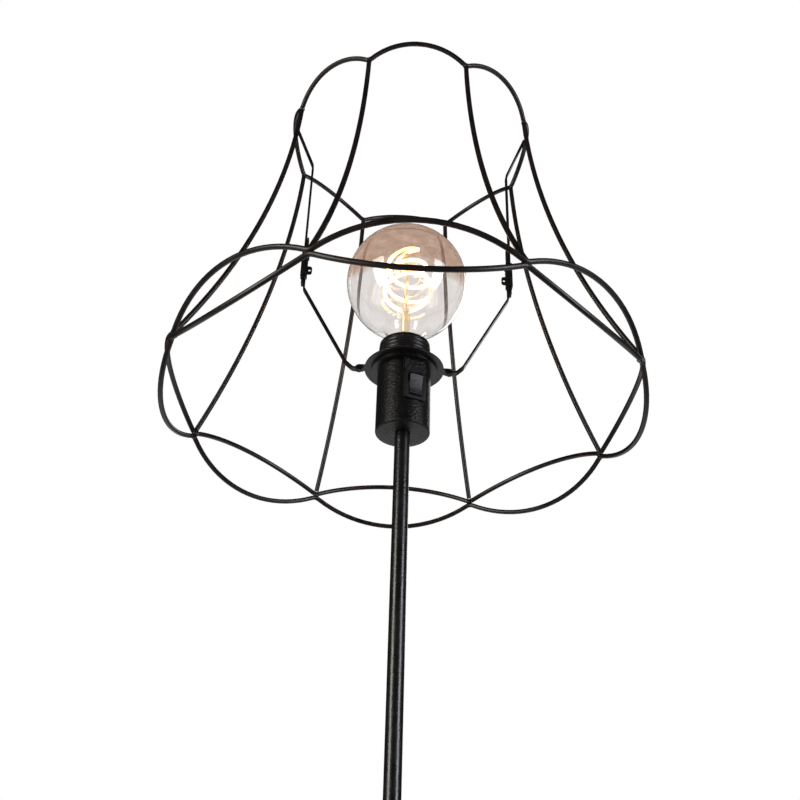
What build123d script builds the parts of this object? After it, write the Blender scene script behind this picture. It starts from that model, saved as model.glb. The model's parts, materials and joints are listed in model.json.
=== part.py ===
from build123d import *
import os
from math import acos, asin, atan2, cos, hypot, pi, radians, sin, sqrt, tan

# Wire cage floor lamp. Millimetres, +Z up, origin at the centre of the base's underside.
# The front of the lamp, where its rocker switch is, faces -Y. Left is -X.

# ---- Driving dimensions ----------------------------------------------------------------

# Clearances
running_gap = 0.3           # faces that move past each other
slip_gap = 0.1              # radial gap of a part slipped over or into a fixed one
pin_gap = 0.05              # radial gap round a pin or rivet
weld_gap = 0.05             # between wires that are joined by a weld bead

# Base
base_d = 280
pad_t = 2
pad_inset = 4               # pad's edge inside the cover's edge
weight_t = 16
cover_t = 1.2
cover_edge_r = 6            # outside rounding of the cover's top edge
cover_floor_gap = 1         # cover's lower edge above the floor
recess_r = 14               # recess under the weight for the nut
recess_depth = 7
cord_hole_r = 2.9           # bore of the cord bush
cord_bush_wall = 0.9
cord_bush_flange = 1

# Pole: three tubes joined by hollow threaded couplers
pole_d = 11.2
pole_wall = 1
pole_section = 426
pole_count = 3
coupler_bore = 5
coupler_length = 44
nut_af = 14                 # across flats
nut_h = 4
washer_r = 9
washer_t = 1

# Lampholder cup
cup_d = 40
cup_wall = 1.5
cup_floor = 2
cup_h = 53.5
cup_edge_r = 1.6

# Threaded barrel on top of the cup
flange_r = 25
flange_t = 2.5
barrel_thread_r = 19.5
barrel_thread_depth = 0.9
barrel_thread_pitch = 3.2
barrel_thread_turns = 6
barrel_thread_start = 0.8   # above the flange
barrel_h = 22.5
barrel_bore_r = 16
barrel_lip = 1.8            # plain rim above the last thread
spigot_h = 10
spigot_gap = 0.3

# Holder insides
core_t = 5.5
core_foot_t = 2
core_screw_r = 1.5
core_screw_length = 5
core_screw_head_r = 2.8
core_screw_head_t = 1.8
core_screw_place_r = 11
shell_wall = 0.5
shell_turns = 5
contact_strip = (12, 4, 0.5)

# Rocker switch in the cup's side
switch_azimuth = 21         # degrees from the front towards +X
switch_centre_h = 31        # above the cup's underside
bezel_w = 17
bezel_above_pin = 11.2
bezel_below_pin = 12.4
bezel_proud = 1.6           # bezel's face outside the cup's wall
panel_proud = 0.7           # flat panel between the bezel and the cup's mouth
switch_body_w = 13.6
switch_body_h = 21
switch_body_depth = 12
switch_back_t = 1.5
rocker_w = 9.8
rocker_r = 9.4              # half length, measured from its pin
rocker_proud = 2            # ends of the level rocker beyond the bezel
rocker_dip = 1.3            # middle of its face below its ends
rocker_tilt = 8             # degrees each side of level
rocker_depth = 3            # behind the pin
rocker_pin_r = 0.9
rocker_pin_behind_face = 3.8
terminal_blade = (5, 4.8, 0.8)
bridge_size = (0.6, 4, 12)

# Fitter ring, its clamp ring and the flat arms
fitter_r = 30
fitter_bore_gap = 1
fitter_t = 1.2
ear_w = 8
ear_past_rivet = 2.8        # from the rivet's axis to the ear's end
clamp_ring_r = 24.4
clamp_ring_h = 4
clamp_ring_notches = 24
notch_r = 0.9
arm_w = 5
arm_t = 1.5
ear_rivet_r = 1.3
ear_rivet_head_r = 2.3
ear_rivet_head_t = 0.8
ear_rivet_place_r = 34.2
lower_arm_start_r = 31
lower_arm_flat_past_ear = 2
lower_arm_knee_r = 44.5
lower_arm_knee_rise = 4.6
lower_arm_stand_r = 81.2    # its upright run
lower_arm_shoulder_rise = 73
lower_arm_top_rise = 124
arm_bend_small = 4
arm_bend_large = 7
upper_arm_bend_rise = 206
upper_arm_tail_rise = 77
upper_arm_over_ring = 3     # its end above the top ring's crest

# Sheet-metal clips that the upper arms slide in
clip_t = 0.8
clip_low_rise = 85
clip_h = 23
clip_ear_out = 4
clip_ear_h = 8
clip_ear_hole_r = 1
clip_rivet_r = 1
clip_rivet_rise = 104
clip_rivet_head_r = 1.9
clip_rivet_head_t = 0.7

# Cage
wire_d = 3.8
rib_count = 8
cage_foot_drop = 26         # rib feet's plane below the fitter ring's seat
hoop_r = 175
hoop_up = 18.8              # crest of the upper hoop above the feet's plane
hoop_down = 19.5            # trough of the lower hoop below it
top_ring_r = 101.3          # at its crests
cage_h = 260
top_ring_up = 13
wave_corner_cut = 3.4       # length of each arc given to the rounded corner at a rib
rib_foot_in = 1.2           # rib's lower end inside the hoops' radius
rib_bow = 15                # rib's middle inside the straight line between its ends
rib_top_saddle = 0.6        # rib's end is coped this far up round the top ring's underside

# Bulb, a 95 mm globe with an E27 cap
globe_r = 47.5
globe_rise = 84             # its centre above the fitter ring's seat
glass_wall = 0.8
neck_r = 13.1
neck_flare_r = 14
neck_low_below_rim = 6      # neck's lower end below the barrel's rim
cap_r = 13.2
cap_wall = 0.35
cap_thread_depth = 0.8
cap_thread_pitch = 3.6
cap_thread_turns = 4
cap_thread_start = 0.5      # above the shell's lower edge
cap_h = 24
cap_insulator_h = 3
cap_contact_r = 4.2
cap_contact_h = 0.8
cap_low_r = 7
stem_r = 3.6
stem_press_rise = 55        # top of the thick glass stem above the seat
stem_rod_r = 1.3
stem_rod_rise = 112
stem_button_r = 2.6
filament_r = 0.6
filament_coil_r = 15
filament_turns = 4
filament_low_rise = 58
filament_high_rise = 118
support_r = 0.3
support_count = 5

# ---- Heights and places worked out from them -------------------------------------------

wire_r = wire_d / 2
pole_r = pole_d / 2
pole_bore_r = pole_r - pole_wall
coupler_r = pole_bore_r - slip_gap
base_r = base_d / 2
cover_top = pad_t + weight_t + cover_t
pole_low = cover_top
pole_top = pole_low + pole_count * pole_section
cup_low = pole_top
cup_r = cup_d / 2
cup_top = cup_low + cup_h
seat = cup_top + flange_t                       # where the fitter ring lies
rim = seat + barrel_h
feet = seat - cage_foot_drop                    # plane of the rib feet
core_top = cup_top - spigot_h + core_t
core_low = cup_top - spigot_h - core_foot_t
bay_angle = 360 / rib_count
shell_r = cap_r + running_gap + shell_wall      # outside of the screw shell's crests
contact_top = core_top + contact_strip[2]
tip = contact_top + cap_contact_h               # the bulb's tip rests just above the contact
cap_low = tip + cap_contact_h + cap_insulator_h
cap_thread_low = cap_low + cap_thread_start
shell_thread_low = cap_thread_low - cap_thread_pitch
shell_top = shell_thread_low + shell_turns * cap_thread_pitch
upper_arm_stand_r = lower_arm_stand_r + arm_t + running_gap
rib_top_r = top_ring_r
rib_foot_r = hoop_r - rib_foot_in
rib_mid_r = (rib_top_r + rib_foot_r) / 2 - rib_bow
switch_z = cup_low + switch_centre_h
bezel_face = cup_r + bezel_proud
rocker_pin_x = bezel_face - rocker_pin_behind_face

LOW = (Align.CENTER, Align.CENTER, Align.MIN)
AXIS = Axis.Z


# ---- Small helpers ---------------------------------------------------------------------

def disc(radius, low, high):
    return Pos(0, 0, low) * Cylinder(radius, high - low, align=LOW)


def tube(outer, inner, low, high):
    return disc(outer, low, high) - disc(inner, low - 1, high + 1)


def rod(start, end, radius):
    path = Line(start, end)
    section = Plane(origin=path @ 0, z_dir=path % 0) * Circle(radius)
    return extrude(section, amount=path.length)


def turned(points):
    """A solid turned about Z from an outline of (radius, height) points."""
    outline = Polyline(*[(r, 0, z) for r, z in points], close=True)
    return revolve(make_face(outline), AXIS)


def ridges(crest, depth, pitch, low, count):
    """Points up the outside of a thread that is drawn as rounded-off ridges."""
    points = []
    for number in range(count):
        z = low + number * pitch
        points += [
            (crest - depth, z + 0.02 * pitch),
            (crest - depth * 0.25, z + 0.2 * pitch),
            (crest, z + 0.38 * pitch),
            (crest, z + 0.62 * pitch),
            (crest - depth * 0.25, z + 0.8 * pitch),
            (crest - depth, z + 0.98 * pitch),
        ]
    return points


def hexagon(across_flats, low, high, bore):
    body = Pos(0, 0, low) * extrude(RegularPolygon(across_flats / sqrt(3), 6), amount=high - low)
    return body - disc(bore, low - 1, high + 1)


def swept_round(path, radius):
    section = Plane(origin=path @ 0, z_dir=path % 0) * Circle(radius)
    return sweep(section, path=path)


def strip(points, bends):
    """A flat arm bent in the X-Z plane, its width along Y. Points are (x, z) on its middle."""
    path = FilletPolyline(*[(x, 0, z) for x, z in points], radius=bends)
    section = Plane(origin=path @ 0, x_dir=(0, 1, 0), z_dir=path % 0) * Rectangle(arm_w, arm_t)
    return sweep(section, path=path)


def left_of(shape):
    return mirror(shape, about=Plane.YZ)


def at_switch(shape):
    """Takes a shape drawn with +X outwards and z = 0 at the rocker's pin to its place."""
    return Pos(0, 0, switch_z) * Rot(0, 0, switch_azimuth - 90) * shape


parts = {}

# ---- Base ------------------------------------------------------------------------------

weight_r = base_r - cover_t - running_gap
weight_edge_r = cover_edge_r - cover_t
weight_top = pad_t + weight_t
groove_side = 2 * (cord_hole_r + cord_bush_wall + cord_bush_flange)
bush_z = pad_t + groove_side / 2
bush_r = cord_hole_r + cord_bush_wall

parts["base_pad"] = disc(base_r - pad_inset, 0, pad_t)

recess = disc(recess_r, pad_t - 1, pad_t + recess_depth)
groove = Pos(0, base_r / 2, bush_z) * Box(groove_side, base_r, groove_side)
weight = disc(weight_r, pad_t, weight_top)
weight = fillet(weight.edges().group_by(AXIS)[-1], weight_edge_r)
parts["base_weight"] = weight - recess - groove - disc(coupler_r + slip_gap, pad_t, cover_top)

cover = disc(base_r, cover_floor_gap, cover_top)
cover = fillet(cover.edges().group_by(AXIS)[-1], cover_edge_r)
hollow = disc(base_r - cover_t, cover_floor_gap - 1, weight_top)
hollow = fillet(hollow.edges().group_by(AXIS)[-1], weight_edge_r)
bush_axis = Pos(0, base_r, bush_z) * Rot(90, 0, 0)
bush_hole = bush_axis * Cylinder(bush_r + pin_gap, 6 * cover_t)
parts["base_cover"] = cover - hollow - disc(coupler_r + slip_gap, weight_top - 1, cover_top + 1) - bush_hole

bush_flange_r = bush_r + cord_bush_flange - slip_gap
bush_out = base_r - slip_gap
bush_seat = sqrt((base_r - cover_t) ** 2 - bush_flange_r**2) - slip_gap


def across_bush(radius, inner, outer):
    return Pos(0, outer, bush_z) * Rot(90, 0, 0) * Cylinder(radius, outer - inner, align=LOW)


parts["cord_bush"] = (
    across_bush(bush_r, bush_seat - 3 * cover_t, bush_out)
    + across_bush(bush_flange_r, bush_seat - cord_bush_flange, bush_seat)
    - across_bush(cord_hole_r, base_r / 2, base_r + 1)
)

# ---- Pole ------------------------------------------------------------------------------

nut_bore = coupler_r + pin_gap
washer_top = pad_t + recess_depth
nut_top = washer_top - washer_t
base_nipple_low = nut_top - nut_h
parts["base_washer"] = tube(washer_r, nut_bore, nut_top, washer_top)
parts["base_nut"] = hexagon(nut_af, base_nipple_low, nut_top, nut_bore)
parts["base_nipple"] = tube(coupler_r, coupler_bore / 2, base_nipple_low, pole_low + coupler_length / 2)

for number, name in enumerate(("lower", "middle", "upper")):
    low = pole_low + number * pole_section
    parts[f"pole_{name}"] = tube(pole_r, pole_bore_r, low, low + pole_section)

for number, name in enumerate(("lower", "upper")):
    joint = pole_low + (number + 1) * pole_section
    low = joint - coupler_length / 2
    parts[f"pole_coupler_{name}"] = tube(coupler_r, coupler_bore / 2, low, low + coupler_length)

# ---- Lampholder ------------------------------------------------------------------------

cup_nut_low = cup_low + cup_floor
cup_nut_top = cup_nut_low + nut_h
holder_nipple_top = cup_nut_top + 2
parts["cup_nut"] = hexagon(nut_af, cup_nut_low, cup_nut_top, nut_bore)
parts["holder_nipple"] = tube(coupler_r, coupler_bore / 2, pole_top - coupler_length / 2, holder_nipple_top)

cup = disc(cup_r, cup_low, cup_top)
cup = fillet(cup.edges().group_by(AXIS)[0], cup_edge_r)
panel_low = bezel_above_pin + weld_gap
cup += at_switch(
    Pos(cup_r + panel_proud, 0, panel_low)
    * Box(cup_r / 2, bezel_w, cup_top - switch_z - panel_low, align=(Align.MAX, Align.CENTER, Align.MIN))
)
cup -= disc(cup_r - cup_wall, cup_nut_low, cup_top + 1)
cup -= disc(nut_bore, cup_low - 1, cup_nut_low + 1)
body_reach = bezel_face - switch_body_depth
body_hole = Box(
    2 * switch_body_depth,
    switch_body_w + 2 * slip_gap,
    switch_body_h + 2 * slip_gap,
    align=(Align.MIN, Align.CENTER, Align.CENTER),
)
parts["holder_cup"] = cup - at_switch(Pos(body_reach, 0, 0) * body_hole)

spigot_r = cup_r - cup_wall - spigot_gap
spigot_low = cup_top - spigot_h
root_r = barrel_thread_r - barrel_thread_depth
barrel_outline = (
    [(barrel_bore_r, spigot_low), (spigot_r, spigot_low), (spigot_r, cup_top), (flange_r, cup_top)]
    + [(flange_r, seat), (root_r, seat)]
    + ridges(
        barrel_thread_r, barrel_thread_depth, barrel_thread_pitch,
        seat + barrel_thread_start, barrel_thread_turns,
    )
    + [(root_r, rim - barrel_lip), (barrel_thread_r - 0.3, rim - barrel_lip + 0.4)]
    + [(barrel_thread_r - 0.3, rim - 0.5), (barrel_thread_r - 0.8, rim), (barrel_bore_r, rim)]
)
parts["holder_barrel"] = turned(barrel_outline)

core = disc(spigot_r, core_low, spigot_low) + disc(barrel_bore_r - slip_gap, spigot_low, core_top)
screw_places = [Rot(0, 0, 90 + side * 50) * Pos(core_screw_place_r, 0, 0) for side in (-1, 1)]
for place in screw_places:
    core -= place * disc(core_screw_r + pin_gap, core_low - 1, core_low + core_screw_length + 0.5)
parts["holder_core"] = core
parts["terminal_screws"] = Compound(
    [
        place
        * (
            disc(core_screw_r, core_low, core_low + core_screw_length)
            + disc(core_screw_head_r, core_low - core_screw_head_t, core_low)
            - Pos(0, 0, core_low - core_screw_head_t) * Box(2 * core_screw_head_r, 0.8, 1.2)
        )
        for place in screw_places
    ]
)

shell_thread = ridges(shell_r, cap_thread_depth, cap_thread_pitch, shell_thread_low, shell_turns)
shell_outline = (
    [(shell_r - cap_thread_depth, core_top)]
    + shell_thread
    + [(shell_r - cap_thread_depth, shell_top + 0.4)]
)
shell_inside = [(r - shell_wall, z) for r, z in reversed(shell_outline)]
parts["screw_shell"] = turned(shell_outline + shell_inside)

strip_l, strip_w, strip_t = contact_strip
dimple = Pos(0, 0, contact_top) * Cylinder(2, cap_contact_h - pin_gap, align=LOW)
parts["centre_contact"] = Pos(0, 0, core_top) * Box(strip_l, strip_w, strip_t, align=LOW) + dimple

# ---- Rocker switch ---------------------------------------------------------------------

pocket_half = rocker_r + running_gap
face_in = (Align.MAX, Align.CENTER, Align.CENTER)
bezel_h = bezel_above_pin + bezel_below_pin
bezel = Pos(bezel_face, 0, bezel_above_pin - bezel_h / 2) * Box(bezel_proud + cup_r / 2, bezel_w, bezel_h, align=face_in)
bezel = fillet(bezel.edges().filter_by(Axis.X), 2)
bezel -= Cylinder(cup_r + weld_gap, 2 * bezel_h)
bezel = fillet(bezel.faces().sort_by(Axis.X)[-1].edges(), 0.7)
switch_body = Pos(bezel_face - 0.8, 0, 0) * Box(
    switch_body_depth - 0.8, switch_body_w, switch_body_h, align=face_in
)
pocket_w = rocker_w + 2 * running_gap
pocket = Pos(bezel_face + 1, 0, 0) * Box(
    switch_body_depth - switch_back_t + 1, pocket_w, 2 * pocket_half, align=face_in
)
pin_way = Pos(rocker_pin_x, 0, 0) * Rot(90, 0, 0) * Cylinder(rocker_pin_r + pin_gap, switch_body_w + 1)
parts["switch_housing"] = at_switch(bezel + switch_body - pocket - pin_way)

pin_length = switch_body_w - 0.4
rocker_pin = Pos(rocker_pin_x, 0, 0) * Rot(90, 0, 0) * Cylinder(rocker_pin_r, pin_length)
parts["rocker_pin"] = at_switch(rocker_pin)

end_x = bezel_face + rocker_proud
rocker_side = Polyline(
    (rocker_pin_x - rocker_depth, 0, -3),
    (rocker_pin_x - 1, 0, -rocker_r),
    (end_x, 0, -rocker_r),
    (end_x - rocker_dip, 0, 0),
    (end_x, 0, rocker_r),
    (rocker_pin_x - 1, 0, rocker_r),
    (rocker_pin_x - rocker_depth, 0, 3),
    close=True,
)
rocker = extrude(make_face(rocker_side), amount=rocker_w / 2, both=True)
rocker &= Pos(rocker_pin_x, 0, 0) * Rot(90, 0, 0) * Cylinder(rocker_r, rocker_w + 2)
rocker -= pin_way
tilt = Pos(rocker_pin_x, 0, 0) * Rot(0, rocker_tilt, 0) * Pos(-rocker_pin_x, 0, 0)
parts["switch_rocker"] = at_switch(tilt * rocker)

blade_l, blade_w, blade_t = terminal_blade
blade = Pos(body_reach, 0, 0) * Box(blade_l, blade_w, blade_t, align=face_in)
parts["switch_terminals"] = at_switch(Compound([Pos(0, 0, z) * blade for z in (-4, 4)]))
bridge = Pos(body_reach + switch_back_t, 0, 0) * Box(*bridge_size, align=(Align.MIN, Align.CENTER, Align.CENTER))
parts["switch_bridge"] = at_switch(bridge)

# ---- Fitter ring, clamp ring and lower arms --------------------------------------------

fitter_bore = barrel_thread_r + fitter_bore_gap
ear_reach = ear_rivet_place_r + ear_past_rivet
ear = Pos(ear_reach / 2, 0, seat) * Box(ear_reach, ear_w, fitter_t, align=LOW)
ear = fillet(ear.edges().filter_by(Axis.Z).group_by(Axis.X)[-1], ear_w / 2 - 0.5)
fitter = disc(fitter_r, seat, seat + fitter_t) + ear + left_of(ear)
fitter -= disc(fitter_bore, seat - 1, seat + fitter_t + 1)
rivet_spots = [Pos(side * ear_rivet_place_r, 0, 0) for side in (-1, 1)]
for spot in rivet_spots:
    fitter -= spot * disc(ear_rivet_r + pin_gap, seat - 1, seat + fitter_t + 1)
parts["fitter_ring"] = fitter

clamp_low = seat + fitter_t
clamp = tube(clamp_ring_r, barrel_thread_r + slip_gap, clamp_low, clamp_low + clamp_ring_h)
for number in range(clamp_ring_notches):
    angle = 360 * number / clamp_ring_notches
    clamp -= Rot(0, 0, angle) * Pos(clamp_ring_r, 0, 0) * disc(notch_r, clamp_low - 1, seat + 2 * clamp_ring_h)
parts["clamp_ring"] = clamp

arm_z = seat - arm_t / 2                        # under the ears
lower_arm = strip(
    [
        (lower_arm_start_r, arm_z),
        (ear_reach + lower_arm_flat_past_ear, arm_z),
        (lower_arm_knee_r, seat + lower_arm_knee_rise),
        (lower_arm_stand_r, seat + lower_arm_shoulder_rise),
        (lower_arm_stand_r, seat + lower_arm_top_rise),
    ],
    [arm_bend_small, arm_bend_small, arm_bend_large],
)
lower_arm -= Pos(ear_rivet_place_r, 0, 0) * disc(ear_rivet_r + pin_gap, arm_z - arm_t, seat + 1)
clip_rivet_z = seat + clip_rivet_rise
rivet_hole = Pos(lower_arm_stand_r, 0, clip_rivet_z) * Rot(0, 90, 0) * Cylinder(clip_rivet_r + pin_gap, 3 * arm_t)
lower_arm -= rivet_hole
parts["lower_arm_right"] = lower_arm
parts["lower_arm_left"] = left_of(lower_arm)

ear_rivet = (
    disc(ear_rivet_r, seat - arm_t, seat + fitter_t)
    + disc(ear_rivet_head_r, seat - arm_t - ear_rivet_head_t, seat - arm_t)
    + disc(ear_rivet_head_r, seat + fitter_t, seat + fitter_t + ear_rivet_head_t)
)
parts["ear_rivets"] = Compound([spot * ear_rivet for spot in rivet_spots])

# ---- Clips and upper arms --------------------------------------------------------------

clip_in_x = lower_arm_stand_r - arm_t / 2       # the clip's inner wall lies on the lower arm
clip_out_x = upper_arm_stand_r + arm_t / 2 + running_gap
clip_low = seat + clip_low_rise
clip_mid_x = (clip_in_x + clip_out_x) / 2
clip_w = arm_w + 2 * running_gap
clip_depth = clip_out_x - clip_in_x
clip = Pos(clip_mid_x, 0, clip_low) * Box(clip_depth + 2 * clip_t, clip_w + 2 * clip_t, clip_h, align=LOW)
clip = fillet(clip.edges().filter_by(Axis.Z), clip_t)
ear_plate = Pos(clip_in_x, -clip_w / 2 - clip_t / 2, clip_low) * Box(
    clip_t + clip_ear_out, clip_t, clip_ear_h, align=(Align.MAX, Align.CENTER, Align.MIN)
)
clip += fillet(ear_plate.edges().filter_by(Axis.Y).group_by(Axis.X)[0], clip_ear_out / 2)
clip -= Pos(clip_mid_x, 0, clip_low - 1) * Box(clip_depth, clip_w, clip_h + 2, align=LOW)
ear_hole_x = clip_in_x - clip_t - clip_ear_out / 2
clip -= Pos(ear_hole_x, -clip_w / 2, clip_low + clip_ear_h / 2) * Rot(90, 0, 0) * Cylinder(clip_ear_hole_r, 2 * arm_w)
clip -= Pos(-arm_t, 0, 0) * rivet_hole
parts["clip_right"] = clip
parts["clip_left"] = left_of(clip)

rivet_out = Plane(origin=(clip_in_x + arm_t, 0, clip_rivet_z), z_dir=(-1, 0, 0))
rivet_head = Plane(origin=(clip_in_x - clip_t, 0, clip_rivet_z), z_dir=(-1, 0, 0))
clip_rivet = rivet_out * Cylinder(clip_rivet_r, arm_t + clip_t, align=LOW)
clip_rivet += rivet_head * Cylinder(clip_rivet_head_r, clip_rivet_head_t, align=LOW)
parts["clip_rivets"] = Compound([clip_rivet, left_of(clip_rivet)])

crest_z = feet + cage_h + top_ring_up
bend_z = seat + upper_arm_bend_rise
to_crest = (top_ring_r - upper_arm_stand_r, crest_z - bend_z)
crest_distance = hypot(*to_crest)
beside_ring = wire_r + arm_t / 2 + weld_gap
lean = atan2(*to_crest) - asin(beside_ring / crest_distance)
slope_run = sqrt(crest_distance**2 - beside_ring**2) + upper_arm_over_ring
upper_arm = strip(
    [
        (upper_arm_stand_r, seat + upper_arm_tail_rise),
        (upper_arm_stand_r, bend_z),
        (upper_arm_stand_r + slope_run * sin(lean), bend_z + slope_run * cos(lean)),
    ],
    arm_bend_large,
)
parts["upper_arm_right"] = upper_arm
parts["upper_arm_left"] = left_of(upper_arm)

# ---- Cage ------------------------------------------------------------------------------


def wave_edges(foot_r, crest_r, corner_z, crest_z):
    """One bay of a wavy hoop: its arc from rib to rib, then the rounded corner at the next rib."""
    half = radians(bay_angle / 2)
    x, y = foot_r * cos(half), foot_r * sin(half)
    whole = ThreePointArc((x, -y, corner_z), (crest_r, 0, crest_z), (x, y, corner_z))
    cut = wave_corner_cut / whole.length
    bay = ThreePointArc(whole @ cut, (crest_r, 0, crest_z), whole @ (1 - cut))
    start = bay @ 1
    end = (bay @ 0).rotate(Axis.Z, bay_angle)
    chord = (end - start).normalized()
    half_chord = (end - start).length / 2
    heading = bay % 1
    turn = acos(heading.dot(chord))
    bulge = (heading - chord * heading.dot(chord)).normalized()
    middle = (start + end) * 0.5 + bulge * half_chord * tan(turn / 2)
    return bay, ThreePointArc(start, middle, end), middle.Z


def wavy_hoop(foot_r, crest_r, foot_z, crest_z):
    """A closed hoop of round wire whose corners reach foot_z at the ribs."""
    first = wave_edges(foot_r, crest_r, foot_z, crest_z)
    bay, corner, _ = wave_edges(foot_r, crest_r, 2 * foot_z - first[2], crest_z)
    edges = []
    for number in range(rib_count):
        turn = Rot(0, 0, bay_angle * number)
        edges += [turn * bay, turn * corner]
    path = Wire([edge for curve in edges for edge in curve.edges()])
    return swept_round(path, wire_r)


parts["top_ring"] = wavy_hoop(top_ring_r, top_ring_r, feet + cage_h, crest_z)
kiss = wire_r + weld_gap / 2
parts["hoop_upper"] = wavy_hoop(hoop_r, hoop_r, feet + kiss, feet + hoop_up)
parts["hoop_lower"] = wavy_hoop(hoop_r, hoop_r, feet - kiss, feet - hoop_down)

rib_top_z = parts["top_ring"].bounding_box().min.Z + rib_top_saddle
rib_arc = ThreePointArc(
    (rib_top_r, 0, rib_top_z),
    (rib_mid_r, 0, feet + cage_h / 2),
    (rib_foot_r, 0, feet + 2 * kiss),
)
rib = swept_round(rib_arc, wire_r)
rib = Rot(0, 0, bay_angle / 2) * rib - parts["hoop_upper"] - parts["top_ring"]
rib = rib.solids().sort_by(SortBy.VOLUME)[-1]
for number in range(rib_count):
    parts[f"rib_{number + 1}"] = Rot(0, 0, bay_angle * number) * rib

# ---- Bulb ------------------------------------------------------------------------------

globe_z = seat + globe_rise
neck_low = rim - neck_low_below_rim
flare_z = globe_z - sqrt((globe_r + neck_flare_r) ** 2 - (neck_r + neck_flare_r) ** 2)


def globe_body(inset, low):
    """The bulb's envelope, drawn inset from its outside, down to the height low."""
    globe, neck, flare = globe_r - inset, neck_r - inset, neck_flare_r + inset
    away = atan2(neck_r + neck_flare_r, globe_z - flare_z)
    meet = (globe * sin(away), 0, globe_z - globe * cos(away))
    flare_mid_angle = (pi / 2 - away) / 2
    flare_mid = (
        neck_r + neck_flare_r - flare * cos(flare_mid_angle),
        0,
        flare_z + flare * sin(flare_mid_angle),
    )
    outline = [
        Line((0, 0, low), (0, 0, globe_z + globe)),
        ThreePointArc((0, 0, globe_z + globe), (globe, 0, globe_z), meet),
        ThreePointArc(meet, flare_mid, (neck, 0, flare_z)),
        Line((neck, 0, flare_z), (neck, 0, low)),
        Line((neck, 0, low), (0, 0, low)),
    ]
    return revolve(make_face(Wire([edge for curve in outline for edge in curve.edges()])), AXIS)


parts["bulb_glass"] = globe_body(0, neck_low) - globe_body(glass_wall, neck_low - 1)

cap_high = cap_low + cap_h
cap_thread_high = cap_thread_low + cap_thread_turns * cap_thread_pitch
cap_outline = (
    [(cap_r - cap_thread_depth, cap_low)]
    + ridges(cap_r, cap_thread_depth, cap_thread_pitch, cap_thread_low, cap_thread_turns)
    + [(cap_r - cap_thread_depth, cap_thread_high), (cap_r - cap_thread_depth, neck_low - 1)]
    + [(neck_r + cap_wall + weld_gap, neck_low), (neck_r + cap_wall + weld_gap, cap_high)]
)
cap_inside = [(r - cap_wall, z) for r, z in reversed(cap_outline)]
parts["bulb_cap"] = turned(cap_outline + cap_inside)
parts["cap_insulator"] = turned(
    [
        (0, tip + cap_contact_h),
        (cap_contact_r, tip + cap_contact_h),
        (cap_low_r, tip + cap_contact_h + 0.6),
        (cap_r - cap_thread_depth - 0.1, cap_low - 0.3),
        (cap_r - cap_thread_depth - 0.1, cap_low),
        (0, cap_low),
    ]
)
parts["cap_contact"] = disc(cap_contact_r, tip, tip + cap_contact_h)

stem_press = seat + stem_press_rise
stem_top = seat + stem_rod_rise
stem_foot_r = neck_r - glass_wall - slip_gap
parts["bulb_stem"] = turned(
    [
        (0, neck_low),
        (stem_foot_r, neck_low),
        (stem_foot_r, neck_low + 2),
        (stem_foot_r * 0.62, neck_low + 6),
        (stem_r, neck_low + 12),
        (stem_r, stem_press - 3),
        (stem_r * 0.7, stem_press),
        (stem_rod_r, stem_press + 1),
        (stem_rod_r, stem_top),
        (0, stem_top),
    ]
) + Pos(0, 0, stem_top) * Sphere(stem_button_r)

# The filament climbs round the stem: corners of a square spiral, rounded to nearly full arcs.
corner_r = filament_coil_r * sqrt(2)
corner_count = 4 * filament_turns
climb = (filament_high_rise - filament_low_rise) / corner_count
spiral = []
for number in range(corner_count + 1):
    angle = radians(45 + 90 * number)
    z = seat + filament_low_rise + climb * number
    spiral.append((corner_r * cos(angle), corner_r * sin(angle), z))
filament_path = FilletPolyline(*spiral, radius=0.96 * filament_coil_r)
parts["filament"] = swept_round(filament_path, filament_r)

support_reach = filament_coil_r - filament_r - 2 * support_r
support_rows = [                                # where each row leaves the stem and where it ends
    (stem_button_r + 2 * support_r, stem_top, seat + filament_high_rise - 6),
    (stem_rod_r + 2 * support_r, stem_press + 3, seat + filament_low_rise + 8),
]
supports = []
for number in range(support_count):
    angle = radians(360 * number / support_count + 18)
    for start_r, start_z, end_z in support_rows:
        start = (start_r * cos(angle), start_r * sin(angle), start_z)
        end = (support_reach * cos(angle), support_reach * sin(angle), end_z)
        supports.append(rod(start, end, support_r))
parts["filament_supports"] = Compound(supports)

# ---- Files -----------------------------------------------------------------------------

os.makedirs("parts", exist_ok=True)
for name, shape in parts.items():
    export_step(shape, f"parts/{name}.step")
print(len(parts), "parts; seat", round(seat, 2), "feet", round(feet, 2), "top", round(crest_z + wire_r, 2))
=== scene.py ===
"""Looks of the wire cage floor lamp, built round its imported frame. Metres, +Z up, the front faces -Y."""

import json
import math

import bmesh
import bpy
from mathutils import Matrix, Vector


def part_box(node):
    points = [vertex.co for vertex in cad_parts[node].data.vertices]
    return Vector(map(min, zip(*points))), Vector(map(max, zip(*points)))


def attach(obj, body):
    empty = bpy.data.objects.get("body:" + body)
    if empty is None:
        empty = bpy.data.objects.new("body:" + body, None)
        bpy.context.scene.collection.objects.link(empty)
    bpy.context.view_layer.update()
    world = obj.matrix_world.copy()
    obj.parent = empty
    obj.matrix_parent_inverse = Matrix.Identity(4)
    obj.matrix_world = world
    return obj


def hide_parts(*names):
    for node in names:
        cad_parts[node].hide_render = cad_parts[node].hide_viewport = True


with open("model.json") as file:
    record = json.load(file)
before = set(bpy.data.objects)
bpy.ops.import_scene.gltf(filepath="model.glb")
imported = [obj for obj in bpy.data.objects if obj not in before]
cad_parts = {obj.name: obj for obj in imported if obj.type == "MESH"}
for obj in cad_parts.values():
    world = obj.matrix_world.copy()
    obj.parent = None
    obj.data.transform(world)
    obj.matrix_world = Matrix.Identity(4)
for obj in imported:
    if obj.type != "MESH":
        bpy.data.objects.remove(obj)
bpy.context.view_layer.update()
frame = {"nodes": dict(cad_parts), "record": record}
NODES = frame["nodes"]

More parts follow.
